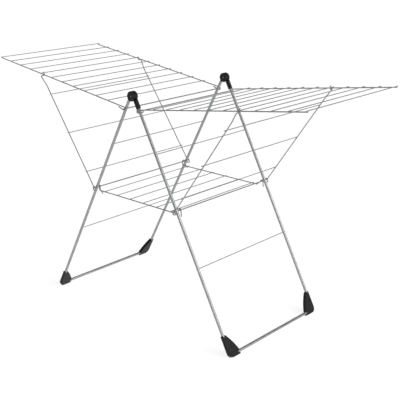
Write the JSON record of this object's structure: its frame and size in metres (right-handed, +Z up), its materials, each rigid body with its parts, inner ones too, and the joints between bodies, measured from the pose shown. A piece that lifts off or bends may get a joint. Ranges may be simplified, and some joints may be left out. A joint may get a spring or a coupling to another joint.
{
  "type": "clothes drying rack",
  "caption": "Folding winged clothes airer: hinged A-shaped tube frames, wire drying wings held by folding wire braces, and a low wire shelf.",
  "frame": {"origin": "on the floor, at the centre of the open rack's footprint", "axes": "+X along the wings towards the right wing, +Y across the rack from the near A-shaped end to the far one, +Z up"},
  "size_m": [1.6644, 0.5972, 1.0224],
  "materials": {
    "tube": "silver-grey powder coat, satin",
    "wire": "light grey epoxy coat over welded steel wire, satin",
    "plastic": "fine-grained black moulding",
    "pin": "dark zinc rivet"
  },
  "bodies": {
    "left_frame": {"left_upper_rod": "wire", "left_lower_rod": "wire", "left_rung_high": "wire", "left_rung_low": "wire", "left_floor_bar": "tube", "left_leg_near": "tube", "left_foot_near": "plastic", "left_hinge_sleeve_near": "plastic", "left_leg_far": "tube", "left_foot_far": "plastic", "left_hinge_sleeve_far": "plastic", "hinge_pin_near": "pin", "hinge_pin_far": "pin"},
    "right_frame": {"right_upper_rod": "wire", "right_lower_rod": "wire", "right_rung_high": "wire", "right_rung_low": "wire", "right_floor_bar": "tube", "right_leg_near": "tube", "right_foot_near": "plastic", "right_hinge_sleeve_near": "plastic", "right_leg_far": "tube", "right_foot_far": "plastic", "right_hinge_sleeve_far": "plastic"},
    "left_wing": {"left_wing_arm_near": "wire", "left_wing_arm_far": "wire", "left_wing_rung_1": "wire", "left_wing_rung_2": "wire", "left_wing_rung_3": "wire", "left_wing_rung_4": "wire", "left_wing_rung_5": "wire", "left_wing_rung_6": "wire", "left_wing_rung_7": "wire", "left_wing_rung_8": "wire", "left_wing_rung_9": "wire", "left_wing_rung_10": "wire", "left_wing_rung_11": "wire"},
    "left_brace": {"left_brace_wire_near": "wire", "left_brace_wire_far": "wire", "left_brace_rungs": "wire"},
    "right_wing": {"right_wing_arm_near": "wire", "right_wing_arm_far": "wire", "right_wing_rung_1": "wire", "right_wing_rung_2": "wire", "right_wing_rung_3": "wire", "right_wing_rung_4": "wire", "right_wing_rung_5": "wire", "right_wing_rung_6": "wire", "right_wing_rung_7": "wire", "right_wing_rung_8": "wire", "right_wing_rung_9": "wire", "right_wing_rung_10": "wire", "right_wing_rung_11": "wire"},
    "right_brace": {"right_brace_wire_near": "wire", "right_brace_wire_far": "wire", "right_brace_rungs": "wire"},
    "shelf": {"shelf_wire_near": "wire", "shelf_wire_far": "wire", "shelf_rungs": "wire"}
  },
  "joints": [
    {"name": "frame_fold", "type": "hinge", "parent": "left_frame", "child": "right_frame", "pos_m": [0, 0, 0.955], "axis": [0, 1, 0], "range_deg": [0, 48]},
    {"name": "left_wing_fold", "type": "hinge", "parent": "left_frame", "child": "left_wing", "pos_m": [-0.03814, 0, 0.9009], "axis": [0, -1, 0], "range_deg": [0, 64]},
    {"name": "left_brace_fold", "type": "hinge", "parent": "left_frame", "child": "left_brace", "pos_m": [-0.23129, 0, 0.5358], "axis": [0, -1, 0], "range_deg": [0, 109]},
    {"name": "right_wing_fold", "type": "hinge", "parent": "right_frame", "child": "right_wing", "pos_m": [0.03814, 0, 0.9009], "axis": [0, 1, 0], "range_deg": [0, 64]},
    {"name": "right_brace_fold", "type": "hinge", "parent": "right_frame", "child": "right_brace", "pos_m": [0.23129, 0, 0.5358], "axis": [0, 1, 0], "range_deg": [0, 109]},
    {"name": "shelf_fold", "type": "hinge", "parent": "left_frame", "child": "shelf", "pos_m": [-0.23129, 0, 0.5358], "axis": [0, 1, 0], "range_deg": [0, 109]}
  ],
  "couplings": [
    {"joint": "left_brace_fold", "follows": "left_wing_fold", "ratio": 1.69},
    {"joint": "right_brace_fold", "follows": "right_wing_fold", "ratio": 1.69},
    {"joint": "shelf_fold", "follows": "frame_fold", "ratio": 2.25}
  ]
}
